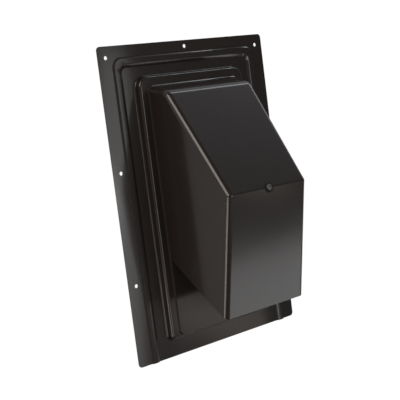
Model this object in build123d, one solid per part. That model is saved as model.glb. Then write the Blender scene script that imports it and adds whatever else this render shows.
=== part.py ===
"""Roof vent cap: a pressed steel flashing with a hood, a duct collar, a hinged damper and a bird screen.

Frame, in millimetres: the roof surface is z = 0, +Z stands off the roof, +Y runs up the roof
and the origin is the centre of the flashing's underside.
"""
from build123d import *
import math
import os

# Sheet metal
sheet = 0.8
rivet_clearance = 0.05

# Flashing plate
plate_width = 222.0
plate_length = 318.0
plate_corner_r = 4.0

# Raised bead that runs up both sides and across the top, its legs open at the lower edge
bead_side_inset = 16.0
bead_top_inset = 11.8
bead_width = 10.6
bead_rise = 2.0
bead_outer_run = 1.0
bead_inner_run = 3.4
bead_corner_r = 10.0
bead_inner_corner_r = 5.5
bead_edge_break = 0.7

# Plateau that lifts the hood clear of the shingles
plateau_side_border = 9.7
plateau_top_inset = 32.4
plateau_bottom_inset = 18.0
plateau_rise = 7.3
plateau_run = 0.8
plateau_top_corner_r = 12.0
plateau_bottom_corner_r = 5.0
plateau_edge_r = 2.6
foot_r = 1.6

# Inner panel on the plateau, which carries the hood and the collar
panel_margin = 1.6
panel_rise = 1.4
panel_run = 0.5
panel_bottom_gap = 3.2
panel_corner_r = 6.0
panel_edge_break = 0.8

# Nail holes
nail_hole_r = 2.0
nail_side_inset = 9.7
nail_top_inset = 11.3
nail_pitch = 112.6
nail_rows = 3
nail_middle_top_inset = 6.1

# Hood: the outer corners of its side view, each a run down the roof from the one before
hood_top_gap = 11.4
hood_back_lean = 5.8
hood_shoulder_z = 32.0
hood_slope_run = 104.7
hood_fold_z = 99.8
hood_front_run = 121.9
hood_lip_z = 75.1
hood_foot_length = 175.0
hood_foot_width = 119.4
hood_draft = 3.84
hood_shoulder_r = 12.0
hood_fold_r = 3.0
hood_side_r = 6.0
hood_foot_flange = 5.6
hood_mouth_lip = 8.0
fold_seat_r = 5.0
fold_seat_rise = 0.3

# Duct collar for a four-inch round duct
collar_bore_r = 51.3
collar_back_gap = 89.9
collar_height = 16.5
collar_flange = 6.0
collar_clearance = 0.3

# Damper flap, hinged on the up-roof side of the collar
flap_overlap = 1.2
flap_clearance = 0.3
flap_pan_inset = 12.0
flap_pan_rise = 1.6
flap_open_deg = 33.0
hinge_gap = 5.0
hinge_rod_r = 1.5
hinge_rod_head_r = 2.6
hinge_rod_head = 1.2
hinge_running_clearance = 0.06
hinge_side_clearance = 0.4
hinge_leaf_inset = 23.3
hinge_knuckle = 12.0
bracket_sheet = 1.2
bracket_ear_r = 4.2
bracket_foot_width = 12.0
bracket_foot_length = 14.0

# Stop strap inside the fold, held by the rivet that shows on the fold
stop_sheet = 1.2
stop_width = 14.0
stop_up_slope = 12.0
stop_down_front = 11.0
stop_clearance = 0.3

# Bird screen across the mouth
screen_sheet = 0.8
screen_clearance = 1.0
screen_window = 8.4
screen_bar = 1.9
screen_columns = 9
screen_rows = 7

# Blind rivets, faceted because they are small, and where they stand
rivet_sides = 6
rivet_r = 1.2
rivet_head_r = 2.0
rivet_head = 0.8
rivet_crown_taper = 40
fold_rivet_r = 1.6
fold_rivet_head_r = 3.3
fold_rivet_head = 1.5
fold_rivet_tail_r = 2.4
hood_rivet_end_gap = 20.0
hood_back_rivet_shares = (-0.6, 0, 0.6)
screen_side_rivet_shares = (0.2, 0.62)
collar_rivet_angles = (45, 135, 225, 315)

# Levels
plate_top = sheet
bead_top = plate_top + bead_rise
plateau_top = plate_top + plateau_rise
panel_top = plateau_top + panel_rise
panel_under = panel_top - sheet
collar_top = panel_top + collar_height
flap_under = collar_top + flap_clearance

# Places that follow from the sizes above
plate_half_width = plate_width / 2
plate_half_length = plate_length / 2
plateau_y_high = plate_half_length - plateau_top_inset
plateau_y_low = -plate_half_length + plateau_bottom_inset
hood_back_y = plateau_y_high - hood_top_gap
hood_shoulder_y = hood_back_y - hood_back_lean
hood_fold_y = hood_shoulder_y - hood_slope_run
hood_lip_y = hood_fold_y - hood_front_run
hood_mouth_y = hood_back_y - hood_foot_length
collar_y = hood_back_y - collar_back_gap
collar_outer_r = collar_bore_r + sheet
flap_r = collar_outer_r + flap_overlap
hinge_leaf_half = flap_r - hinge_leaf_inset
hinge_y = collar_y + flap_r + hinge_gap
knuckle_r = hinge_rod_r + hinge_running_clearance + sheet
hinge_z = flap_under + knuckle_r
panel_half_width = hood_foot_width / 2 + panel_margin
panel_y_high = hood_back_y + panel_margin
panel_y_low = plateau_y_low + panel_bottom_gap
plateau_half_width = panel_half_width + plateau_side_border
past = hood_fold_z


def outline(half_width, y_low, y_high, r_low, r_high):
    """Rectangle about x = 0 with its own corner radius at the lower and the upper end."""
    face = Pos(0, (y_low + y_high) / 2) * Rectangle(2 * half_width, y_high - y_low)
    ends = face.vertices().group_by(Axis.Y)
    face = fillet(ends[-1], r_high)
    if r_low > 0:
        face = fillet(face.vertices().group_by(Axis.Y)[0], r_low)
    return face


def drafted(size, run, z_low, z_high):
    """Pad whose outline, from size(inset), draws in by run between the two levels."""
    return loft([Pos(0, 0, z_low) * size(0), Pos(0, 0, z_high) * size(run)], ruled=True)


def wall_shift(run, rise):
    """Sideways distance between the two faces of a sheet wall that rises by rise over run."""
    return sheet * (math.hypot(run, rise) - run) / rise


def bead_outer(inset):
    return outline(plate_half_width - bead_side_inset - inset, -plate_half_length - past,
                   plate_half_length - bead_top_inset - inset, 0, bead_corner_r - inset)


def bead_inner(grow):
    inset = bead_width - grow
    return outline(plate_half_width - bead_side_inset - inset, -plate_half_length - past,
                   plate_half_length - bead_top_inset - inset, 0, bead_inner_corner_r + grow)


def plateau_outline(inset):
    return outline(plateau_half_width - inset, plateau_y_low + inset, plateau_y_high - inset,
                   plateau_bottom_corner_r - inset, plateau_top_corner_r - inset)


def panel_outline(inset):
    return outline(panel_half_width - inset, panel_y_low + inset, panel_y_high - inset,
                   panel_corner_r - inset, panel_corner_r - inset)


def bead_solid(outer_shift, inner_shift, z_low, z_high):
    """The bead's flat-topped section as a solid band between two levels."""
    outer = drafted(lambda run: bead_outer(outer_shift + run), bead_outer_run, z_low, z_high)
    inner = drafted(lambda run: bead_inner(inner_shift + run), bead_inner_run, z_low, z_high)
    return outer - inner


def level_edges(solid, level):
    """Edges of a solid that lie flat at one level."""
    return [e for e in solid.edges()
            if abs(e.position_at(0.5).Z - level) < 1e-4 and abs(e.tangent_at(0.5).Z) < 1e-4]


def sheet_form(drop):
    """Upper skin of the flashing for drop = 0, or the hollow under it for drop = sheet.

    The plateau's rim is rounded, and in the hollow it is broken by a chamfer that keeps the sheet's
    thickness behind the rounding. The lower rims of the bead and the panel are broken in the skin alone.
    """
    under = drop > 0
    shift = {name: wall_shift(run, rise) if under else 0.0 for name, run, rise in (
        ("bead_outer", bead_outer_run, bead_rise), ("bead_inner", bead_inner_run, bead_rise),
        ("plateau", plateau_run, plateau_rise), ("panel", panel_run, panel_rise))}
    floor = plate_top - drop
    bead = bead_solid(shift["bead_outer"], shift["bead_inner"], floor, bead_top - drop)
    plateau = drafted(lambda run: plateau_outline(shift["plateau"] + run), plateau_run, floor,
                      plateau_top - drop)
    panel = drafted(lambda run: panel_outline(shift["panel"] + run), panel_run,
                    plateau_top - drop, panel_top - drop)
    plateau += panel
    rim = [e for e in level_edges(plateau, plateau_top - drop)
           if not on_outline(e, panel_outline(shift["panel"]))]
    if under:
        return bead + chamfer(rim, (plateau_edge_r - sheet) * (2 - math.sqrt(2)))
    plateau = fillet(rim, plateau_edge_r)
    plateau = chamfer(level_edges(plateau, panel_top), panel_edge_break)
    return chamfer(level_edges(bead, bead_top), bead_edge_break) + plateau


def on_outline(edge, face):
    """True where an edge follows the outline of a flat face, looking down."""
    at = edge.center(CenterOf.MASS) if edge.geom_type == GeomType.LINE else edge.position_at(0.5)
    flat = Vector(at.X, at.Y, 0)
    return min(e.distance_to(flat) for e in face.edges()) < 1e-3


def nail_places():
    """Nail holes: a column up each side and one at the middle of the top edge."""
    x = plate_half_width - nail_side_inset
    top = plate_half_length - nail_top_inset
    sides = [(s * x, top - row * nail_pitch) for row in range(nail_rows) for s in (-1, 1)]
    return sides + [(0, plate_half_length - nail_middle_top_inset)]


def disc(x, y, r, z_low, z_high):
    return Pos(x, y, z_low) * extrude(Circle(r), z_high - z_low)


def stud(x, y, r, z_low, z_high):
    """Faceted pin, or the hole that it goes through."""
    return Pos(x, y, z_low) * extrude(RegularPolygon(r, rivet_sides), z_high - z_low)


def make_rivet(r, head_r, head, tail_r, grip):
    """Blind rivet along -Z: crowned head on z = 0, shank through the grip, upset tail below."""
    crown = extrude(RegularPolygon(head_r, rivet_sides), head, taper=rivet_crown_taper)
    return crown + stud(0, 0, r, -grip, 0) + stud(0, 0, tail_r, -grip - head, -grip)


def half_hood(z):
    """Half of the hood's outer width at a height."""
    return hood_foot_width / 2 - (z - panel_top) * math.tan(math.radians(hood_draft))


def hood_form(inset):
    """The hood's outer form, drawn in by inset on every face, with its bends."""
    corners = [(hood_back_y, panel_top), (hood_shoulder_y, hood_shoulder_z), (hood_fold_y, hood_fold_z),
               (hood_lip_y, hood_lip_z), (hood_mouth_y, panel_top)]
    side_view = make_face(Polyline(*corners, close=True))
    if inset:
        side_view = offset(side_view, -inset, kind=Kind.INTERSECTION)
    shoulder = side_view.vertices().sort_by_distance((hood_shoulder_y, hood_shoulder_z))[0]
    side_view = fillet(shoulder, hood_shoulder_r - inset)
    fold = side_view.vertices().sort_by_distance((hood_fold_y, hood_fold_z))[0]
    side_view = fillet(fold, hood_fold_r - inset)
    low, high = panel_top - past, hood_fold_z + past
    thin = inset / math.cos(math.radians(hood_draft))
    front_view = make_face(Polyline((-half_hood(low) + thin, low), (half_hood(low) - thin, low),
                                    (half_hood(high) - thin, high), (-half_hood(high) + thin, high),
                                    close=True))
    form = extrude(Plane.YZ * side_view, plate_width, both=True)
    form &= extrude(Plane.XZ * front_view, plate_length, both=True)
    mouth = mouth_plane()
    bends = [e for e in form.edges() if abs(e.tangent_at(0.5).X) < 0.2
             and abs(e.center().Z - panel_top - inset) > 1e-3
             and abs(mouth.to_local_coords(e.center()).Z + inset) > 1e-3]
    return fillet(bends, hood_side_r - inset)


def mouth_plane():
    """Plane of the slanted mouth: x across, y from the panel to the front lip, z out of the hood."""
    along = Vector(0, hood_lip_y - hood_mouth_y, hood_lip_z - panel_top).normalized()
    across = Vector(1, 0, 0)
    return Plane((0, hood_mouth_y, panel_top), x_dir=across, z_dir=across.cross(along))


def mouth_length():
    return math.hypot(hood_lip_y - hood_mouth_y, hood_lip_z - panel_top)


def mouth_half(along, side_inset):
    """Half width of the mouth at a distance along it, less an inset from the hood's side."""
    z = panel_top + along * (hood_lip_z - panel_top) / mouth_length()
    return half_hood(z) - side_inset


def mouth_sheet(low, high, side_inset, z_low, z_high):
    """Plate in the mouth's plane between two distances along it, following the hood's sides."""
    face = make_face(Polyline((-mouth_half(low, side_inset), low), (mouth_half(low, side_inset), low),
                              (mouth_half(high, side_inset), high), (-mouth_half(high, side_inset), high),
                              close=True))
    return mouth_plane() * Pos(0, 0, z_low) * extrude(face, z_high - z_low)


def screen_rivet_places():
    """Rivets through the screen and the mouth's lips, as places in the mouth's plane."""
    side = sheet + (hood_mouth_lip - sheet) / 2
    front = mouth_length() - hood_mouth_lip / 2 - sheet
    places = [(s * mouth_half(share * mouth_length(), side), share * mouth_length())
              for share in screen_side_rivet_shares for s in (-1, 1)]
    return places + [(s * mouth_half(front, 0) / 2, front) for s in (-1, 1)]


def hood_rivet_places():
    """Rivets through the hood's foot flange, clear of the collar."""
    lane = sheet + (hood_foot_flange - sheet) / 2
    x = hood_foot_width / 2 - lane
    y_back = hood_back_y - lane
    sides = [(s * x, y) for y in (hood_mouth_y + hood_rivet_end_gap, y_back - hood_rivet_end_gap)
             for s in (-1, 1)]
    return sides + [(share * x, y_back) for share in hood_back_rivet_shares]


def collar_rivet_places():
    r = collar_outer_r + collar_flange / 2
    return [(r * math.cos(math.radians(a)), collar_y + r * math.sin(math.radians(a)))
            for a in collar_rivet_angles]


def bracket_rivet_x():
    return hinge_leaf_half + hinge_side_clearance + bracket_sheet + bracket_foot_width / 2


def fold_lines():
    """Directions from the fold along the slope and along the front, and the way out between them."""
    slope = Vector(0, hood_shoulder_y - hood_fold_y, hood_shoulder_z - hood_fold_z).normalized()
    front = Vector(0, hood_lip_y - hood_fold_y, hood_lip_z - hood_fold_z).normalized()
    return slope, front, (slope + front).normalized() * -1


def fold_drop(r):
    """How far the slope and the front fall below the fold's tip at a distance from it."""
    slope, _, out = fold_lines()
    return r / math.tan(math.acos(-slope.dot(out)))


def fold_axis():
    """Plane on the fold's crest, its z along the middle of the angle between slope and front."""
    slope, _, out = fold_lines()
    half_turn = math.acos(-slope.dot(out))
    crest = Vector(0, hood_fold_y, hood_fold_z) - out * (hood_fold_r / math.sin(half_turn) - hood_fold_r)
    return Plane(crest, x_dir=(1, 0, 0), z_dir=out)


def fold_seat(drop):
    """Flat round pad pressed up across the fold, with its inner side at drop = sheet."""
    low = -fold_drop(fold_seat_r)
    return fold_axis() * disc(0, 0, fold_seat_r - drop, low - drop, fold_seat_rise - drop)


def make_flashing():
    plate = outline(plate_half_width, -plate_half_length, plate_half_length, plate_corner_r, plate_corner_r)
    skin = extrude(plate, plate_top) + (sheet_form(0) & extrude(plate, hood_fold_z))
    foot = [e for e in level_edges(skin, plate_top) if on_outline(e, plateau_outline(0))]
    body = fillet(foot, foot_r) - sheet_form(sheet)
    body -= disc(0, collar_y, collar_outer_r + collar_clearance, 0, collar_top)
    for x, y in nail_places():
        body -= disc(x, y, nail_hole_r, 0, sheet)
    for x, y in hood_rivet_places() + collar_rivet_places() + bracket_rivet_places():
        body -= stud(x, y, rivet_r + rivet_clearance, 0, panel_top)
    return body


def bracket_rivet_places():
    return [(s * bracket_rivet_x(), hinge_y) for s in (-1, 1)]


def make_hood():
    shell = hood_form(0) + fold_seat(0) - hood_form(sheet) - fold_seat(sheet)
    shell -= mouth_sheet(-past, mouth_length() - hood_mouth_lip, hood_mouth_lip, -sheet - screen_sheet / 2,
                         sheet)
    half = hood_foot_width / 2 - hood_foot_flange
    y_high = hood_back_y - hood_foot_flange
    y_low = hood_mouth_y - past
    shell -= Pos(0, (y_low + y_high) / 2, panel_top) * Box(2 * half, y_high - y_low, 3 * sheet)
    for x, y in hood_rivet_places():
        shell -= stud(x, y, rivet_r + rivet_clearance, panel_top - sheet, panel_top + 2 * sheet)
    for x, y in screen_rivet_places():
        shell -= mouth_plane() * stud(x, y, rivet_r + rivet_clearance, -2 * sheet, sheet)
    return shell - fold_axis() * stud(0, 0, fold_rivet_r + rivet_clearance, -3 * sheet, sheet)


def make_collar():
    low = panel_under - sheet
    wall = Pos(0, 0, low) * extrude(Circle(collar_outer_r) - Circle(collar_bore_r), collar_top - low)
    flange = Pos(0, 0, low) * extrude(Circle(collar_outer_r + collar_flange) - Circle(collar_bore_r), sheet)
    ring = Pos(0, collar_y, 0) * (wall + flange)
    for x, y in collar_rivet_places():
        ring -= stud(x, y, rivet_r + rivet_clearance, low, panel_under)
    return ring


def make_flap():
    """Round flap with a pressed pan, a hinge leaf and two knuckles rolled round the rod."""
    pan_r = flap_r - flap_pan_inset
    low = flap_under
    flap = disc(0, collar_y, flap_r, low, low + sheet)
    pan = loft([Pos(0, collar_y, low) * Circle(pan_r), Pos(0, collar_y, low + sheet + flap_pan_rise)
                * Circle(pan_r - flap_pan_rise - sheet)])
    hollow = Pos(0, 0, -sheet) * pan
    leaf_length = hinge_y - collar_y
    leaf = Pos(0, collar_y + leaf_length / 2, low + sheet / 2) * Box(2 * hinge_leaf_half, leaf_length, sheet)
    flap = flap + leaf + pan - hollow
    between = 2 * (hinge_leaf_half - hinge_knuckle)
    flap -= Pos(0, hinge_y, low + sheet / 2) * Box(between, 2 * (knuckle_r + sheet), 2 * sheet)
    for s in (-1, 1):
        middle = Pos(s * (hinge_leaf_half - hinge_knuckle / 2), hinge_y, hinge_z)
        roll = Circle(knuckle_r) - Circle(knuckle_r - sheet)
        flap += middle * extrude(Plane.YZ * roll, hinge_knuckle / 2, both=True)
    bore = extrude(Plane.YZ * Circle(knuckle_r - sheet), hinge_leaf_half, both=True)
    return flap - Pos(0, hinge_y, hinge_z) * bore


def make_bracket(side):
    """Angle bracket: an ear that holds the hinge rod and a foot riveted to the panel."""
    inner = hinge_leaf_half + hinge_side_clearance
    rise = hinge_z - panel_top
    ear = Pos(0, -rise / 2) * Rectangle(2 * bracket_ear_r, rise) + Circle(bracket_ear_r)
    ear -= Circle(hinge_rod_r + rivet_clearance)
    ear = Pos(inner, hinge_y, hinge_z) * extrude(Plane.YZ * ear, bracket_sheet)
    foot_span = bracket_sheet + bracket_foot_width
    foot = Pos(inner + foot_span / 2, hinge_y, panel_top + bracket_sheet / 2) * Box(
        foot_span, bracket_foot_length, bracket_sheet)
    bracket = ear + foot - stud(bracket_rivet_x(), hinge_y, rivet_r + rivet_clearance, panel_top,
                                panel_top + bracket_sheet)
    return bracket if side > 0 else mirror(bracket, Plane.YZ)


def make_hinge_rod():
    reach = hinge_leaf_half + hinge_side_clearance + bracket_sheet + hinge_side_clearance
    rod = extrude(Plane.YZ * Circle(hinge_rod_r), reach, both=True)
    for s in (-1, 1):
        rod += Pos(s * (reach + hinge_rod_head / 2), 0, 0) * extrude(
            Plane.YZ * Circle(hinge_rod_head_r), hinge_rod_head / 2, both=True)
    return Pos(0, hinge_y, hinge_z) * rod


def flap_top_at(y, angle):
    """Height of the opened flap's upper face where it passes a place along the roof."""
    turn = math.radians(angle)
    below = knuckle_r - sheet
    along = (hinge_y - below * math.sin(turn) - y) / math.cos(turn)
    return hinge_z + along * math.sin(turn) - below * math.cos(turn)


def make_stop():
    """Strap bent to the inside of the fold, with a leg that meets the opened flap."""
    y_low = hood_fold_y - stop_down_front
    y_high = hood_fold_y + stop_up_slope
    window = Pos(0, (y_low + y_high) / 2, hood_fold_z) * Box(stop_width, y_high - y_low, hood_fold_z)
    strap = (hood_form(sheet) - hood_form(sheet + stop_sheet)) & window
    strap = strap.solids().sort_by(Axis.Z)[-1]
    leg_low = flap_top_at(y_low, flap_open_deg) + stop_clearance
    leg = Pos(0, y_low + stop_sheet / 2, (leg_low + hood_fold_z) / 2) * Box(
        stop_width, stop_sheet, hood_fold_z - leg_low)
    strap += leg & hood_form(sheet)
    return strap - fold_axis() * stud(0, 0, fold_rivet_r + rivet_clearance, -fold_seat_r, 0)


def make_fold_rivet():
    """Rivet on the fold's seat, its tail clear of the bent strap."""
    grip = fold_seat_rise + sheet + stop_sheet + fold_drop(fold_rivet_tail_r) + rivet_clearance
    rivet = make_rivet(fold_rivet_r, fold_rivet_head_r, fold_rivet_head, fold_rivet_tail_r, grip)
    return fold_axis() * Pos(0, 0, fold_seat_rise) * rivet


def make_screen():
    """Pierced screen that lies on the inner side of the mouth's lips."""
    front_angle = math.acos(abs(mouth_plane().y_dir.dot(
        Vector(0, hood_fold_y - hood_lip_y, hood_fold_z - hood_lip_z).normalized())))
    depth = sheet + screen_sheet
    high = mouth_length() - depth / math.tan(front_angle) - sheet / math.sin(front_angle) - screen_clearance
    low = screen_clearance
    screen = mouth_sheet(low, high, sheet + screen_clearance, -depth, -sheet)
    upright = screen.edges().filter_by(Axis(mouth_plane().origin, mouth_plane().z_dir))
    screen = fillet(upright.sort_by(Axis.Z)[-2:], hood_side_r)
    pitch = screen_window + screen_bar
    centre = (mouth_length() - hood_mouth_lip) / 2
    grid = GridLocations(pitch, pitch, screen_columns, screen_rows)
    windows = Sketch() + grid * Rectangle(screen_window, screen_window)
    screen -= mouth_plane() * Pos(0, centre, -depth) * extrude(windows, screen_sheet)
    for x, y in screen_rivet_places():
        screen -= mouth_plane() * stud(x, y, rivet_r + rivet_clearance, -depth, -sheet)
    return screen


def rivets(places, top, grip, plane=Plane.XY):
    rivet = make_rivet(rivet_r, rivet_head_r, rivet_head, rivet_head_r, grip)
    return Compound([plane * Pos(x, y, top) * rivet for x, y in places])


parts = {
    "base_flashing": make_flashing(),
    "hood": make_hood(),
    "duct_collar": make_collar(),
    "damper_flap": make_flap(),
    "hinge_bracket_left": make_bracket(-1),
    "hinge_bracket_right": make_bracket(1),
    "hinge_rod": make_hinge_rod(),
    "damper_stop": make_stop(),
    "fold_rivet": make_fold_rivet(),
    "bird_screen": make_screen(),
    "collar_rivets": rivets(collar_rivet_places(), panel_top, 2 * sheet),
    "hood_rivets": rivets(hood_rivet_places(), panel_top + sheet, 2 * sheet),
    "bracket_rivets": rivets(bracket_rivet_places(), panel_top + bracket_sheet, bracket_sheet + sheet),
    "screen_rivets": rivets(screen_rivet_places(), 0, sheet + screen_sheet, mouth_plane()),
}

os.makedirs("parts", exist_ok=True)
for name, shape in parts.items():
    export_step(shape, "parts/" + name + ".step")
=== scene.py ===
"""Roof vent cap in black baked enamel: looks of its folded hood, flashing, damper, screen and rivets."""
import math

import bmesh
import bpy
from bpy.props import FloatProperty, FloatVectorProperty, IntProperty, PointerProperty
from mathutils import Matrix, Vector


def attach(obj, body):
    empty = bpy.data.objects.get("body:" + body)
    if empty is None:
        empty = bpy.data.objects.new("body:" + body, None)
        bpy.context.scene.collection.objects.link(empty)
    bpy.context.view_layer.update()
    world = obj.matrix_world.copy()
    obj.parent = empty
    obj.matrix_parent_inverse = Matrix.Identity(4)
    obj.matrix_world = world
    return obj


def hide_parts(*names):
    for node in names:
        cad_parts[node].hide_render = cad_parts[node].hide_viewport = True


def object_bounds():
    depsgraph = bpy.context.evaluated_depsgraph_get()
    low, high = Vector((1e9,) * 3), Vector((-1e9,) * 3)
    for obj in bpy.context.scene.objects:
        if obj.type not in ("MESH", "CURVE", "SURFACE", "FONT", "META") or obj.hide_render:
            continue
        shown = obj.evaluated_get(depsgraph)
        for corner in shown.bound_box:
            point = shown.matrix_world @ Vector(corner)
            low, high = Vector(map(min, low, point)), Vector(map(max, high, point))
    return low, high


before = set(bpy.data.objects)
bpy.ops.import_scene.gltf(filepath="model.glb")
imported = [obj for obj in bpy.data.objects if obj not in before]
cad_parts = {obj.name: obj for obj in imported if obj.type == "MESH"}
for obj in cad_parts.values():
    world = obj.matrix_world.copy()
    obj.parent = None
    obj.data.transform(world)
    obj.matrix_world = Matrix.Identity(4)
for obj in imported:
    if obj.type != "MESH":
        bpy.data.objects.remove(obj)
CAD_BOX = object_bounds()

bl_info = {
    "name": "Roof Vent Cap",
    "version": (1, 0, 0),
    "blender": (4, 5, 0),
    "location": "View3D > Sidebar > Vent Cap",
    "description": "Dresses the sheet-steel roof vent cap and sets its studio",
    "category": "Object",
}

MM = 0.001
RIVETED_NODES = ("collar_rivets", "hood_rivets", "bracket_rivets", "screen_rivets")

# Points closer than this are joined, in a CAD node's loose triangles and in a rivet's wound head
SHEET_WELD = 0.002 * MM
RIVET_WELD = 0.001 * MM

# From facet to facet a rounded bend turns less than this, and a cut edge turns more
BEND_LIMIT = math.radians(28)

# The sheet's bow starts this far from its middle line, and has its full slope this much further out
BOW_START = 55 * MM
BOW_WIDTH = 50 * MM

HANDLING_MARK = 0.8 * MM

# Section of a rivet's head from its pin to its rim: share of the way, and share of the radius or the height
HEAD_RINGS = 15
HEAD_OUT = (
    (0.0, 0.0), (0.1, 0.22), (0.2, 0.26), (0.3, 0.34), (0.55, 0.62), (0.8, 0.92), (0.92, 1.0), (1.0, 1.0))
HEAD_UP = (
    (0.0, 0.72), (0.1, 0.74), (0.2, 0.98), (0.3, 1.0), (0.55, 0.86), (0.8, 0.46), (0.92, 0.22), (1.0, 0.0))

# The floor lies just under the cap, glows by itself, and takes this much of the lamps' light on top
FLOOR_DROP = 0.2 * MM
FLOOR_GLOW = 0.90
FLOOR_SHADE = 0.12

# Camera axes and place, solved from the corners of the plate and the hood
CAMERA_PLACE = Vector((-0.6703, 0.1054, 0.7788))
CAMERA_RIGHT = Vector((0.7451, -0.1251, 0.6551))
CAMERA_UP = Vector((0.1661, 0.9861, -0.0007))

# Softboxes: name, direction from the cap, width and height in metres, roll in degrees, brightness and tint
# of the cloth
LAMP_DISTANCE = 1.6
LAMPS = (
    ("overhead_softbox", (0.14, -0.12, 1.00), 0.70, 0.70, 0, 9.5, "#ffffff"),
    ("front_softbox", (0.657, -0.522, 0.544), 0.56, 0.28, -37, 4.6, "#ffffff"),
    ("foot_softbox", (0.632, -0.310, 0.705), 0.12, 0.36, 0, 2.7, "#fff2e8"),
    ("flange_softbox", (0.418, -0.117, 0.90), 0.90, 0.24, 0, 4.2, "#ffffff"),
    ("back_left_softbox", (-0.71, 0.61, 0.34), 0.95, 0.75, 0, 12.0, "#fff4ea"),
    ("front_left_softbox", (-0.87, -0.38, 0.33), 0.50, 0.75, 0, 10.0, "#fff1e6"),
    ("rim_softbox", (0.67, 0.735, 0.11), 1.00, 0.28, 0, 8.0, "#f2f6ff"),
)


def linear(code):
    """Linear red, green and blue of an sRGB hex colour."""
    values = [int(code[i:i + 2], 16) / 255 for i in (1, 3, 5)]
    return tuple(v / 12.92 if v <= 0.04045 else ((v + 0.055) / 1.055) ** 2.4 for v in values)


class FinishSettings(bpy.types.PropertyGroup):
    """Colours and surface sizes of the finishes."""
    enamel_color: FloatVectorProperty(
        name="Enamel", description="Baked enamel on the flashing, the hood and the collar", size=3,
        subtype="COLOR", min=0, max=1, default=linear("#130f0d"))
    enamel_roughness: FloatProperty(
        name="Enamel roughness", description="Satin gloss of the enamel", subtype="FACTOR",
        min=0, max=1, default=0.50)
    enamel_peel: FloatProperty(
        name="Orange peel", description="Width of one ripple of the sprayed coat", unit="LENGTH",
        default=1.6 * MM)
    enamel_wave: FloatProperty(
        name="Sheet wave", description="Width of the slow waves in the pressed sheet", unit="LENGTH",
        default=70 * MM)
    sheet_bow: FloatProperty(
        name="Sheet bow", description="Fall of the thin sheet at its long edges", unit="ROTATION",
        default=math.radians(4.0))
    screen_color: FloatVectorProperty(
        name="Screen", description="Dip coat on the bird screen", size=3, subtype="COLOR",
        min=0, max=1, default=linear("#262524"))
    aluminium_color: FloatVectorProperty(
        name="Aluminium", description="Mill-finish sheet of the damper", size=3,
        subtype="COLOR", min=0, max=1, default=linear("#c9cbcd"))
    rolling_mark: FloatProperty(
        name="Rolling mark", description="Width of one rolling line in the mill finish", unit="LENGTH",
        default=0.9 * MM)
    zinc_color: FloatVectorProperty(
        name="Zinc", description="Zinc plate on the hinge and the stop", size=3, subtype="COLOR",
        min=0, max=1, default=linear("#b4b8ba"))
    zinc_grain: FloatProperty(
        name="Zinc grain", description="Width of one crystal of the zinc plate", unit="LENGTH",
        default=2.2 * MM)
    rivet_color: FloatVectorProperty(
        name="Rivet", description="Drawn steel of the rivets inside", size=3, subtype="COLOR",
        min=0, max=1, default=linear("#959595"))
    rivet_roughness: FloatProperty(
        name="Rivet roughness", description="Gloss of the rivets inside", subtype="FACTOR",
        min=0, max=1, default=0.26)
    fold_rivet_color: FloatVectorProperty(
        name="Fold rivet", description="Weathered metal of the rivet on the fold", size=3, subtype="COLOR",
        min=0, max=1, default=linear("#4c4d4f"))
    fold_rivet_roughness: FloatProperty(
        name="Fold rivet roughness", description="Gloss of the rivet on the fold", subtype="FACTOR",
        min=0, max=1, default=0.60)


class RivetSettings(bpy.types.PropertyGroup):
    """Sizes of the blind rivets."""
    head_radius: FloatProperty(
        name="Head radius", description="Radius of a small rivet's head", unit="LENGTH", default=2.0 * MM)
    head_height: FloatProperty(
        name="Head height", description="Height of a small rivet's head", unit="LENGTH", default=0.8 * MM)
    shank_radius: FloatProperty(
        name="Shank radius", description="Radius of a small rivet's shank", unit="LENGTH", default=1.2 * MM)
    fold_head_radius: FloatProperty(
        name="Fold head radius", description="Radius of the fold rivet's head", unit="LENGTH",
        default=3.3 * MM)
    fold_head_height: FloatProperty(
        name="Fold head height", description="Height of the fold rivet's head", unit="LENGTH",
        default=1.5 * MM)
    fold_shank_radius: FloatProperty(
        name="Fold shank radius", description="Radius of the fold rivet's shank", unit="LENGTH",
        default=1.6 * MM)
    fold_tail_radius: FloatProperty(
        name="Fold tail radius", description="Radius of the fold rivet's set tail", unit="LENGTH",
        default=2.4 * MM)
    sides: IntProperty(
        name="Sides", description="Facets round one rivet", min=8, max=64, default=28)


class StageSettings(bpy.types.PropertyGroup):
    """Floor, lamps and camera."""
    floor_color: FloatVectorProperty(
        name="Floor", description="Pale studio floor", size=3, subtype="COLOR", min=0, max=1,
        default=linear("#fdfdfd"))
    floor_size: FloatProperty(
        name="Floor size", description="Side of the square floor", unit="LENGTH", default=30.0)
    backdrop_height: FloatProperty(
        name="Backdrop height", description="Height of the paper round the floor", unit="LENGTH", default=1.2)
    lens: FloatProperty(
        name="Lens", description="Focal length of the camera", unit="CAMERA", default=88.73)
    sensor: FloatProperty(
        name="Sensor", description="Width of the camera's sensor", unit="CAMERA", default=36.0)
    world_strength: FloatProperty(
        name="Room light", description="Strength of the even light from the room", min=0, default=0.14)


def add(tree, kind, values=None, links=None, **settings):
    """Adds a node with its settings, its socket values and its incoming links."""
    made = tree.nodes.new(kind)
    for key, value in settings.items():
        setattr(made, key, value)
    for key, value in (values or {}).items():
        made.inputs[key].default_value = value
    for key, source in (links or {}).items():
        tree.links.new(source, made.inputs[key])
    return made


def new_material(name):
    """A material with an empty node tree."""
    material = bpy.data.materials.new(name)
    material.use_nodes = True
    material.node_tree.nodes.clear()
    return material


def rgba(color, share=1.0):
    """A colour for a socket, taken down or up to a share of itself."""
    return (*(c * share for c in color), 1.0)


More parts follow.
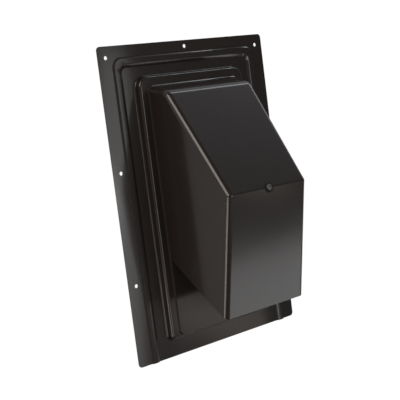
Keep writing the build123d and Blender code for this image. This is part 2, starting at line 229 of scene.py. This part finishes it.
def baked_enamel(name, color, roughness, peel, wave, bow):
    """Black baked enamel on pressed steel.

    The sprayed coat gives the eye a satin black with a fine orange peel. The thin sheet under it bends
    every reflection in slow waves, and falls a little towards its long edges, which catch more light.
    """
    material = new_material(name)
    tree = material.node_tree
    place = add(tree, "ShaderNodeTexCoord").outputs["Object"]
    cloud = add(tree, "ShaderNodeTexNoise", {"Scale": 0.5 / wave, "Detail": 3.0}, {"Vector": place})
    grain = add(tree, "ShaderNodeTexNoise", {"Scale": 1 / peel, "Detail": 2.0}, {"Vector": place})
    slow = add(tree, "ShaderNodeTexNoise", {"Scale": 1 / wave, "Detail": 1.0}, {"Vector": place})
    tone = add(tree, "ShaderNodeMix", {"A": rgba(color, 0.86), "B": rgba(color, 1.14)},
               {"Factor": cloud.outputs["Fac"]}, data_type="RGBA")
    gloss = add(tree, "ShaderNodeMapRange", {"To Min": roughness - 0.05, "To Max": roughness + 0.05},
                {"Value": cloud.outputs["Fac"]})
    side = add(tree, "ShaderNodeSeparateXYZ", links={"Vector": place}).outputs["X"]
    reach = add(tree, "ShaderNodeMath", links={0: side}, operation="ABSOLUTE")
    past = add(tree, "ShaderNodeMath", {1: BOW_START}, {0: reach.outputs[0]}, operation="SUBTRACT")
    outside = add(tree, "ShaderNodeMath", {1: 0.0}, {0: past.outputs[0]}, operation="MAXIMUM")
    fall = add(tree, "ShaderNodeMath", {1: 2.0}, {0: outside.outputs[0]}, operation="POWER")
    depth = add(tree, "ShaderNodeMath", {1: -math.tan(bow) / (2 * BOW_WIDTH)}, {0: fall.outputs[0]},
                operation="MULTIPLY")
    bowed = add(tree, "ShaderNodeBump", {"Strength": 1.0, "Distance": 1.0}, {"Height": depth.outputs[0]})
    bend = add(tree, "ShaderNodeBump", {"Strength": 0.35, "Distance": 0.6 * MM},
               {"Height": slow.outputs["Fac"], "Normal": bowed.outputs["Normal"]})
    skin = add(tree, "ShaderNodeBump", {"Strength": 0.10, "Distance": 0.05 * MM},
               {"Height": grain.outputs["Fac"], "Normal": bend.outputs["Normal"]})
    shader = add(tree, "ShaderNodeBsdfPrincipled",
                 {"IOR": 1.5, "Specular IOR Level": 0.08, "Coat Weight": 0.36, "Coat Roughness": 0.14},
                 {"Base Color": tone.outputs["Result"], "Roughness": gloss.outputs["Result"],
                  "Normal": skin.outputs["Normal"], "Coat Normal": skin.outputs["Normal"]})
    add(tree, "ShaderNodeOutputMaterial", links={"Surface": shader.outputs[0]})
    return material


def mill_aluminium(name, color, mark):
    """Mill-finish aluminium sheet, straight from the rolls.

    The rolls leave fine lines along the sheet, so it gives the eye a soft grey sheen that streaks one way.
    """
    material = new_material(name)
    tree = material.node_tree
    place = add(tree, "ShaderNodeTexCoord").outputs["Object"]
    drawn = add(tree, "ShaderNodeMapping", {"Scale": (1 / mark, 0.02 / mark, 0.3 / mark)}, {"Vector": place})
    lines = add(tree, "ShaderNodeTexNoise", {"Scale": 1.0, "Detail": 3.0},
                {"Vector": drawn.outputs["Vector"]})
    tone = add(tree, "ShaderNodeMix", {"A": rgba(color, 0.82), "B": rgba(color)},
               {"Factor": lines.outputs["Fac"]}, data_type="RGBA")
    gloss = add(tree, "ShaderNodeMapRange", {"To Min": 0.28, "To Max": 0.46},
                {"Value": lines.outputs["Fac"]})
    skin = add(tree, "ShaderNodeBump", {"Strength": 0.15, "Distance": 0.04 * MM},
               {"Height": lines.outputs["Fac"]})
    shader = add(tree, "ShaderNodeBsdfPrincipled", {"Metallic": 1.0},
                 {"Base Color": tone.outputs["Result"], "Roughness": gloss.outputs["Result"],
                  "Normal": skin.outputs["Normal"]})
    add(tree, "ShaderNodeOutputMaterial", links={"Surface": shader.outputs[0]})
    return material


def zinc_plate(name, color, crystal):
    """Zinc-plated steel strip.

    The plating settles in small crystals, so it gives the eye a cool grey with faint patches of unlike gloss.
    """
    material = new_material(name)
    tree = material.node_tree
    place = add(tree, "ShaderNodeTexCoord").outputs["Object"]
    cells = add(tree, "ShaderNodeTexVoronoi", {"Scale": 1 / crystal}, {"Vector": place})
    patch = add(tree, "ShaderNodeSeparateColor", links={"Color": cells.outputs["Color"]})
    tone = add(tree, "ShaderNodeMix", {"A": rgba(color, 0.8), "B": rgba(color)},
               {"Factor": patch.outputs["Red"]}, data_type="RGBA")
    gloss = add(tree, "ShaderNodeMapRange", {"To Min": 0.26, "To Max": 0.44},
                {"Value": patch.outputs["Green"]})
    shader = add(tree, "ShaderNodeBsdfPrincipled", {"Metallic": 1.0},
                 {"Base Color": tone.outputs["Result"], "Roughness": gloss.outputs["Result"]})
    add(tree, "ShaderNodeOutputMaterial", links={"Surface": shader.outputs[0]})
    return material


def rivet_finish(name, color, roughness):
    """Drawn rivet steel.

    A clean one gives the eye one hard glint on its small dome, softened by fine handling marks,
    and a weathered one a dull grey spot.
    """
    material = new_material(name)
    tree = material.node_tree
    place = add(tree, "ShaderNodeTexCoord").outputs["Object"]
    marks = add(tree, "ShaderNodeTexNoise", {"Scale": 1 / HANDLING_MARK, "Detail": 4.0}, {"Vector": place})
    gloss = add(tree, "ShaderNodeMapRange", {"To Min": roughness - 0.08, "To Max": roughness + 0.08},
                {"Value": marks.outputs["Fac"]})
    tone = add(tree, "ShaderNodeMix", {"A": rgba(color, 0.75), "B": rgba(color)},
               {"Factor": marks.outputs["Fac"]}, data_type="RGBA")
    shader = add(tree, "ShaderNodeBsdfPrincipled", {"Metallic": 1.0},
                 {"Base Color": tone.outputs["Result"], "Roughness": gloss.outputs["Result"]})
    add(tree, "ShaderNodeOutputMaterial", links={"Surface": shader.outputs[0]})
    return material


def studio_floor(name, color):
    """White paper sweep: it looks evenly white, and still shows where the cap shades it."""
    material = new_material(name)
    tree = material.node_tree
    path = add(tree, "ShaderNodeLightPath").outputs
    seen = add(tree, "ShaderNodeMath", links={0: path["Is Camera Ray"], 1: path["Is Glossy Ray"]},
               operation="MAXIMUM")
    shown = add(tree, "ShaderNodeMath", links={0: seen.outputs[0], 1: path["Is Transmission Ray"]},
                operation="MAXIMUM")
    paper = add(tree, "ShaderNodeBsdfDiffuse", {"Color": rgba(color)})
    shade = add(tree, "ShaderNodeBsdfDiffuse", {"Color": rgba((FLOOR_SHADE, FLOOR_SHADE, FLOOR_SHADE))})
    glow = add(tree, "ShaderNodeEmission", {"Color": rgba(color), "Strength": FLOOR_GLOW})
    bright = add(tree, "ShaderNodeAddShader", links={0: shade.outputs[0], 1: glow.outputs[0]})
    mix = add(tree, "ShaderNodeMixShader",
              links={0: shown.outputs[0], 1: paper.outputs[0], 2: bright.outputs[0]})
    add(tree, "ShaderNodeOutputMaterial", links={"Surface": mix.outputs[0]})
    return material


def shared(maker, name, *sizes):
    """The material of that name, made once."""
    return bpy.data.materials.get(name) or maker(name, *sizes)


def enamel():
    """Finish of the flashing, the hood and the collar."""
    look = bpy.context.scene.vent_finish
    return shared(baked_enamel, "black_baked_enamel", look.enamel_color, look.enamel_roughness,
                  look.enamel_peel, look.enamel_wave, look.sheet_bow)


def screen_enamel():
    """Finish of the bird screen, which has no bow."""
    look = bpy.context.scene.vent_finish
    return shared(baked_enamel, "dipped_screen_enamel", look.screen_color, look.enamel_roughness,
                  look.enamel_peel, look.enamel_wave, 0.0)


def aluminium():
    """Finish of the damper."""
    look = bpy.context.scene.vent_finish
    return shared(mill_aluminium, "mill_finish_aluminium", look.aluminium_color, look.rolling_mark)


def zinc():
    """Finish of the hinge and the stop."""
    look = bpy.context.scene.vent_finish
    return shared(zinc_plate, "zinc_plated_steel", look.zinc_color, look.zinc_grain)


def clean_rivet():
    """Finish of the rivets inside."""
    look = bpy.context.scene.vent_finish
    return shared(rivet_finish, "clean_rivet_steel", look.rivet_color, look.rivet_roughness)


def weathered_rivet():
    """Finish of the rivet on the fold."""
    look = bpy.context.scene.vent_finish
    return shared(rivet_finish, "weathered_rivet_steel", look.fold_rivet_color, look.fold_rivet_roughness)


def merged(node):
    """A copy of a CAD node's mesh with its loose triangles joined, as a bmesh."""
    shape = bmesh.new()
    shape.from_mesh(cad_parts[node].data)
    bmesh.ops.remove_doubles(shape, verts=shape.verts, dist=SHEET_WELD)
    return shape


def place_mesh(name, mesh):
    """Puts a finished mesh in the scene at the origin."""
    piece = bpy.data.objects.new(name, mesh)
    bpy.context.scene.collection.objects.link(piece)
    return piece


def apply_modifiers(piece):
    """Turns a piece's modifiers into its mesh."""
    bpy.context.view_layer.update()
    graph = bpy.context.evaluated_depsgraph_get()
    mesh = bpy.data.meshes.new_from_object(piece.evaluated_get(graph), depsgraph=graph)
    piece.modifiers.clear()
    old = piece.data
    piece.data = mesh
    bpy.data.meshes.remove(old)


def sheet_piece(node, name, body, material):
    """A CAD node's sheet form with its bends shaded round and its cut edges kept sharp."""
    joined = merged(node)
    joined.verts.index_update()
    points = [vert.co[:] for vert in joined.verts]
    faces = [[vert.index for vert in face.verts] for face in joined.faces]
    joined.free()
    mesh = bpy.data.meshes.new(name)
    mesh.from_pydata(points, [], faces)
    shape = bmesh.new()
    shape.from_mesh(mesh)
    for edge in shape.edges:
        edge.smooth = len(edge.link_faces) == 2 and edge.calc_face_angle(math.pi) < BEND_LIMIT
    for face in shape.faces:
        face.smooth = True
    shape.to_mesh(mesh)
    shape.free()
    mesh.materials.append(material)
    piece = place_mesh(name, mesh)
    weigh = piece.modifiers.new("flat_faces_first", "WEIGHTED_NORMAL")
    weigh.mode = "FACE_AREA"
    weigh.weight = 50
    weigh.keep_sharp = True
    apply_modifiers(piece)
    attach(piece, body)
    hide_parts(node)


def islands(shape):
    """The separate solids of a merged mesh, as lists of faces."""
    left = set(shape.faces)
    for first in shape.faces:
        if first not in left:
            continue
        left.remove(first)
        seed = [first]
        found = [first]
        while seed:
            for edge in seed.pop().edges:
                for face in edge.link_faces:
                    if face in left:
                        left.remove(face)
                        seed.append(face)
                        found.append(face)
        yield found


def rivet_places(node, head_height):
    """Seat, axis and grip of each rivet in a node: most of a rivet's flat area faces away from its head."""
    shape = merged(node)
    places = []
    for faces in islands(shape):
        areas = {}
        for face in faces:
            way = tuple(round(c, 2) for c in face.normal)
            areas.setdefault(way, [0.0, Vector()])
            areas[way][0] += face.calc_area()
            areas[way][1] += face.normal * face.calc_area()
        axis = -max(areas.values(), key=lambda entry: entry[0])[1].normalized()
        points = list(dict.fromkeys(vert for face in faces for vert in face.verts))
        middle = sum((vert.co for vert in points), Vector()) / len(points)
        heights = [vert.co.dot(axis) for vert in points]
        seat = middle + axis * (max(heights) - head_height - middle.dot(axis))
        places.append((seat, axis, max(heights) - min(heights) - 2 * head_height))
    shape.free()
    return places


def socket(tree, name, kind, default=None, direction="INPUT"):
    """Adds a named socket to a node group."""
    made = tree.interface.new_socket(name, in_out=direction, socket_type=kind)
    if default is not None:
        made.default_value = default


def rivet_head(tree, given):
    """Head on its seat: a grid wound round the axis, whose rings follow the section from pin to rim."""
    around = add(tree, "ShaderNodeMath", {1: 1.0}, {0: given["Sides"]}, operation="ADD")
    grid = add(tree, "GeometryNodeMeshGrid", {"Size X": 1.0, "Size Y": 1.0, "Vertices Y": HEAD_RINGS},
               {"Vertices X": around.outputs[0]})
    place = add(tree, "GeometryNodeInputPosition").outputs[0]
    spot = add(tree, "ShaderNodeSeparateXYZ", links={"Vector": place})
    angle = add(tree, "ShaderNodeMath", {1: math.tau}, {0: spot.outputs["X"]}, operation="MULTIPLY")
    along = add(tree, "ShaderNodeMath", {1: 0.5}, {0: spot.outputs["Y"]}, operation="ADD")
    section = []
    for points, size in ((HEAD_OUT, given["Head Radius"]), (HEAD_UP, given["Head Height"])):
        curve = add(tree, "ShaderNodeFloatCurve", links={"Value": along.outputs[0]})
        line = curve.mapping.curves[0]
        for between in points[1:-1]:
            line.points.new(*between)
        line.points[0].location = points[0]
        line.points[-1].location = points[-1]
        curve.mapping.update()
        sized = add(tree, "ShaderNodeMath", links={0: curve.outputs["Value"], 1: size}, operation="MULTIPLY")
        section.append(sized.outputs[0])
    radius, height = section
    across = []
    for way in ("SINE", "COSINE"):
        turn = add(tree, "ShaderNodeMath", links={0: angle.outputs[0]}, operation=way)
        reach = add(tree, "ShaderNodeMath", links={0: radius, 1: turn.outputs[0]}, operation="MULTIPLY")
        across.append(reach.outputs[0])
    wound = add(tree, "ShaderNodeCombineXYZ", links={"X": across[0], "Y": across[1], "Z": height})
    shell = add(tree, "GeometryNodeSetPosition",
                links={"Geometry": grid.outputs["Mesh"], "Position": wound.outputs[0]})
    weld = add(tree, "GeometryNodeMergeByDistance", {"Distance": RIVET_WELD}, {"Geometry": shell.outputs[0]})
    dome = add(tree, "GeometryNodeSetShadeSmooth", links={"Geometry": weld.outputs[0]})
    base = add(tree, "GeometryNodeMeshCircle",
               links={"Vertices": given["Sides"], "Radius": given["Head Radius"]}, fill_type="NGON")
    under = add(tree, "GeometryNodeFlipFaces", links={"Mesh": base.outputs[0]})
    head = add(tree, "GeometryNodeJoinGeometry")
    for part in (under, dome):
        tree.links.new(part.outputs[0], head.inputs[0])
    return head


def rivet_shank(tree, given):
    """Shank of unit length below its seat, which each rivet draws to its own grip."""
    shank = add(tree, "GeometryNodeMeshCylinder", {"Depth": 1.0},
                {"Vertices": given["Sides"], "Radius": given["Shank Radius"]})
    return add(tree, "GeometryNodeTransform", {"Translation": (0, 0, -0.5)},
               {"Geometry": shank.outputs["Mesh"]})


def rivet_tail(tree, given):
    """Set tail, as high as the head, below the seat until it is lowered by the grip."""
    tail = add(tree, "GeometryNodeMeshCylinder", links={
        "Vertices": given["Sides"], "Radius": given["Tail Radius"], "Depth": given["Head Height"]})
    half = add(tree, "ShaderNodeMath", {1: -0.5}, {0: given["Head Height"]}, operation="MULTIPLY")
    drop = add(tree, "ShaderNodeCombineXYZ", links={"Z": half.outputs[0]})
    return add(tree, "GeometryNodeTransform",
               links={"Geometry": tail.outputs["Mesh"], "Translation": drop.outputs[0]})


def rivet_tree():
    """Geometry nodes that stand a blind rivet on each point, along its axis and as long as its grip."""
    tree = bpy.data.node_groups.new("blind_rivets", "GeometryNodeTree")
    socket(tree, "Points", "NodeSocketGeometry")
    for name in ("Head Radius", "Head Height", "Shank Radius", "Tail Radius"):
        socket(tree, name, "NodeSocketFloat", MM)
    socket(tree, "Sides", "NodeSocketInt", 24)
    socket(tree, "Material", "NodeSocketMaterial")
    socket(tree, "Rivets", "NodeSocketGeometry", direction="OUTPUT")
    given = add(tree, "NodeGroupInput").outputs
    axis = add(tree, "GeometryNodeInputNamedAttribute", {"Name": "axis"}, data_type="FLOAT_VECTOR")
    named = add(tree, "GeometryNodeInputNamedAttribute", {"Name": "grip"}, data_type="FLOAT")
    grip = named.outputs["Attribute"]
    turn = add(tree, "FunctionNodeAlignRotationToVector", links={"Vector": axis.outputs["Attribute"]},
               axis="Z")
    heads, shanks, tails = [
        add(tree, "GeometryNodeInstanceOnPoints", links={
            "Points": given["Points"], "Instance": part(tree, given).outputs[0], "Rotation": turn.outputs[0]})
        for part in (rivet_head, rivet_shank, rivet_tail)]
    drawn = add(tree, "ShaderNodeCombineXYZ", {"X": 1.0, "Y": 1.0}, {"Z": grip})
    tree.links.new(drawn.outputs[0], shanks.inputs["Scale"])
    down = add(tree, "ShaderNodeMath", {1: -1.0}, {0: grip}, operation="MULTIPLY")
    shift = add(tree, "ShaderNodeCombineXYZ", links={"Z": down.outputs[0]})
    lowered = add(tree, "GeometryNodeTranslateInstances",
                  links={"Instances": tails.outputs[0], "Translation": shift.outputs[0]})
    every = add(tree, "GeometryNodeJoinGeometry")
    for part in (heads, shanks, lowered):
        tree.links.new(part.outputs[0], every.inputs[0])
    real = add(tree, "GeometryNodeRealizeInstances", links={"Geometry": every.outputs[0]})
    coat = add(tree, "GeometryNodeSetMaterial",
               links={"Geometry": real.outputs[0], "Material": given["Material"]})
    add(tree, "NodeGroupOutput", links={"Rivets": coat.outputs[0]})
    return tree


def stand_rivets(name, nodes, head_radius, head_height, shank_radius, tail_radius, material):
    """Blind rivets in the places of those CAD nodes, as one piece on the cap."""
    places = [place for node in nodes for place in rivet_places(node, head_height)]
    mesh = bpy.data.meshes.new(name)
    mesh.from_pydata([seat[:] for seat, _, _ in places], [], [])
    mesh.attributes.new("axis", "FLOAT_VECTOR", "POINT")
    mesh.attributes.new("grip", "FLOAT", "POINT")
    for i, (_, axis, grip) in enumerate(places):
        mesh.attributes["axis"].data[i].vector = axis
        mesh.attributes["grip"].data[i].value = grip
    piece = place_mesh(name, mesh)
    tree = bpy.data.node_groups.get("blind_rivets") or rivet_tree()
    maker = piece.modifiers.new("blind_rivets", "NODES")
    maker.node_group = tree
    values = {"Head Radius": head_radius, "Head Height": head_height, "Shank Radius": shank_radius,
              "Tail Radius": tail_radius, "Sides": bpy.context.scene.vent_rivets.sides, "Material": material}
    for item in tree.interface.items_tree:
        if item.in_out == "INPUT" and item.name in values:
            maker[item.identifier] = values[item.name]
    apply_modifiers(piece)
    if not piece.data.polygons:
        raise RuntimeError(name + " came out empty")
    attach(piece, "cap")
    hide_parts(*nodes)


def lay_floor(stage):
    """Square paper floor with a low wall of the same paper along each side."""
    half = stage.floor_size / 2
    corners = ((-half, -half), (half, -half), (half, half), (-half, half))
    points = [(x, y, z) for z in (-FLOOR_DROP, stage.backdrop_height) for x, y in corners]
    walls = [(i, i + 4, (i + 1) % 4 + 4, (i + 1) % 4) for i in range(4)]
    mesh = bpy.data.meshes.new("floor")
    mesh.from_pydata(points, [], [(0, 1, 2, 3), *walls])
    mesh.materials.append(studio_floor("white_paper_floor", stage.floor_color))
    place_mesh("floor", mesh)


def hang_softboxes(scene):
    """Soft area lamps that face the middle of the cap, each as strong as its cloth is bright and large."""
    centre = (CAD_BOX[0] + CAD_BOX[1]) / 2
    for name, direction, width, height, roll, brightness, tint in LAMPS:
        lamp = bpy.data.lights.new(name, "AREA")
        lamp.shape = "RECTANGLE"
        lamp.size = width
        lamp.size_y = height
        lamp.energy = brightness * math.pi * width * height
        lamp.color = linear(tint)
        holder = bpy.data.objects.new(name, lamp)
        way = Vector(direction).normalized()
        turn = Matrix.Rotation(math.radians(roll), 4, "Z")
        facing = way.to_track_quat("Z", "Y").to_matrix().to_4x4() @ turn
        holder.matrix_world = Matrix.Translation(centre + way * LAMP_DISTANCE) @ facing
        scene.collection.objects.link(holder)


def light_room(scene, strength):
    """Even white light from the room."""
    world = bpy.data.worlds.new("studio_room")
    world.use_nodes = True
    tree = world.node_tree
    tree.nodes.clear()
    room = add(tree, "ShaderNodeBackground", {"Color": (1, 1, 1, 1), "Strength": strength})
    add(tree, "ShaderNodeOutputWorld", links={"Surface": room.outputs[0]})
    scene.world = world


def set_camera(scene, stage):
    """Camera at the photograph's place and angle."""
    lens = bpy.data.cameras.new("camera")
    lens.lens = stage.lens
    lens.sensor_width = stage.sensor
    camera = bpy.data.objects.new("camera", lens)
    back = CAMERA_RIGHT.cross(CAMERA_UP).normalized()
    up = back.cross(CAMERA_RIGHT).normalized()
    axes = Matrix((CAMERA_RIGHT.normalized(), up, back)).transposed().to_4x4()
    camera.matrix_world = Matrix.Translation(CAMERA_PLACE) @ axes
    scene.collection.objects.link(camera)
    scene.camera = camera


class VENT_OT_flashing(bpy.types.Operator):
    """Flashing plate with its bead, plateau and panel in black enamel"""
    bl_idname = "vent.flashing"
    bl_label = "Flashing"

    def execute(self, context):
        sheet_piece("base_flashing", "pressed_flashing", "cap", enamel())
        return {"FINISHED"}


class VENT_OT_hood(bpy.types.Operator):
    """Folded hood in black enamel"""
    bl_idname = "vent.hood"
    bl_label = "Hood"

    def execute(self, context):
        sheet_piece("hood", "folded_hood", "cap", enamel())
        return {"FINISHED"}


class VENT_OT_damper(bpy.types.Operator):
    """Duct collar in black enamel and damper flap in mill-finish aluminium"""
    bl_idname = "vent.damper"
    bl_label = "Collar and damper"

    def execute(self, context):
        sheet_piece("duct_collar", "rolled_collar", "cap", enamel())
        sheet_piece("damper_flap", "damper_blade", "damper", aluminium())
        return {"FINISHED"}


class VENT_OT_hinge(bpy.types.Operator):
    """Hinge rod, its brackets and the stop strap in zinc plate"""
    bl_idname = "vent.hinge"
    bl_label = "Hinge and stop"

    def execute(self, context):
        for node, name in (("hinge_rod", "hinge_pin"), ("hinge_bracket_left", "left_bracket"),
                           ("hinge_bracket_right", "right_bracket"), ("damper_stop", "stop_strap")):
            sheet_piece(node, name, "cap", zinc())
        return {"FINISHED"}


class VENT_OT_screen(bpy.types.Operator):
    """Bird screen in the mouth, the solid itself with its dip coat"""
    bl_idname = "vent.screen"
    bl_label = "Bird screen"

    def execute(self, context):
        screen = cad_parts["bird_screen"]
        screen.data.materials.clear()
        screen.data.materials.append(screen_enamel())
        return {"FINISHED"}


class VENT_OT_rivets(bpy.types.Operator):
    """Blind rivets inside the cap and the larger one on the fold"""
    bl_idname = "vent.rivets"
    bl_label = "Rivets"

    def execute(self, context):
        size = context.scene.vent_rivets
        stand_rivets("blind_rivets", RIVETED_NODES, size.head_radius, size.head_height, size.shank_radius,
                     size.head_radius, clean_rivet())
        stand_rivets("fold_rivet_dome", ("fold_rivet",), size.fold_head_radius, size.fold_head_height,
                     size.fold_shank_radius, size.fold_tail_radius, weathered_rivet())
        return {"FINISHED"}


class VENT_OT_stage(bpy.types.Operator):
    """Pale floor, soft studio lamps and the camera"""
    bl_idname = "vent.stage"
    bl_label = "Stage"

    def execute(self, context):
        scene = context.scene
        stage = scene.vent_stage
        lay_floor(stage)
        hang_softboxes(scene)
        light_room(scene, stage.world_strength)
        set_camera(scene, stage)
        scene.view_settings.view_transform = "Standard"
        return {"FINISHED"}


class VENT_PT_panel(bpy.types.Panel):
    """Pieces of the roof vent cap and their settings"""
    bl_idname = "VENT_PT_panel"
    bl_label = "Roof Vent Cap"
    bl_space_type = "VIEW_3D"
    bl_region_type = "UI"
    bl_category = "Vent Cap"

    def draw(self, context):
        for group in (context.scene.vent_finish, context.scene.vent_rivets, context.scene.vent_stage):
            box = self.layout.box()
            for key in type(group).__annotations__:
                box.prop(group, key)
        for operator in OPERATORS:
            self.layout.operator(operator.bl_idname)


SETTINGS = {"vent_finish": FinishSettings, "vent_rivets": RivetSettings, "vent_stage": StageSettings}
OPERATORS = (VENT_OT_flashing, VENT_OT_hood, VENT_OT_damper, VENT_OT_hinge, VENT_OT_screen, VENT_OT_rivets,
             VENT_OT_stage)


def register():
    for made in (*SETTINGS.values(), *OPERATORS, VENT_PT_panel):
        bpy.utils.register_class(made)
    for key, group in SETTINGS.items():
        setattr(bpy.types.Scene, key, PointerProperty(type=group))


def unregister():
    for key in SETTINGS:
        delattr(bpy.types.Scene, key)
    for made in reversed((*SETTINGS.values(), *OPERATORS, VENT_PT_panel)):
        bpy.utils.unregister_class(made)


def main():
    register()
    bpy.ops.vent.flashing()
    bpy.ops.vent.hood()
    bpy.ops.vent.damper()
    bpy.ops.vent.hinge()
    bpy.ops.vent.screen()
    bpy.ops.vent.rivets()
    bpy.ops.vent.stage()


if __name__ == "__main__":
    main()
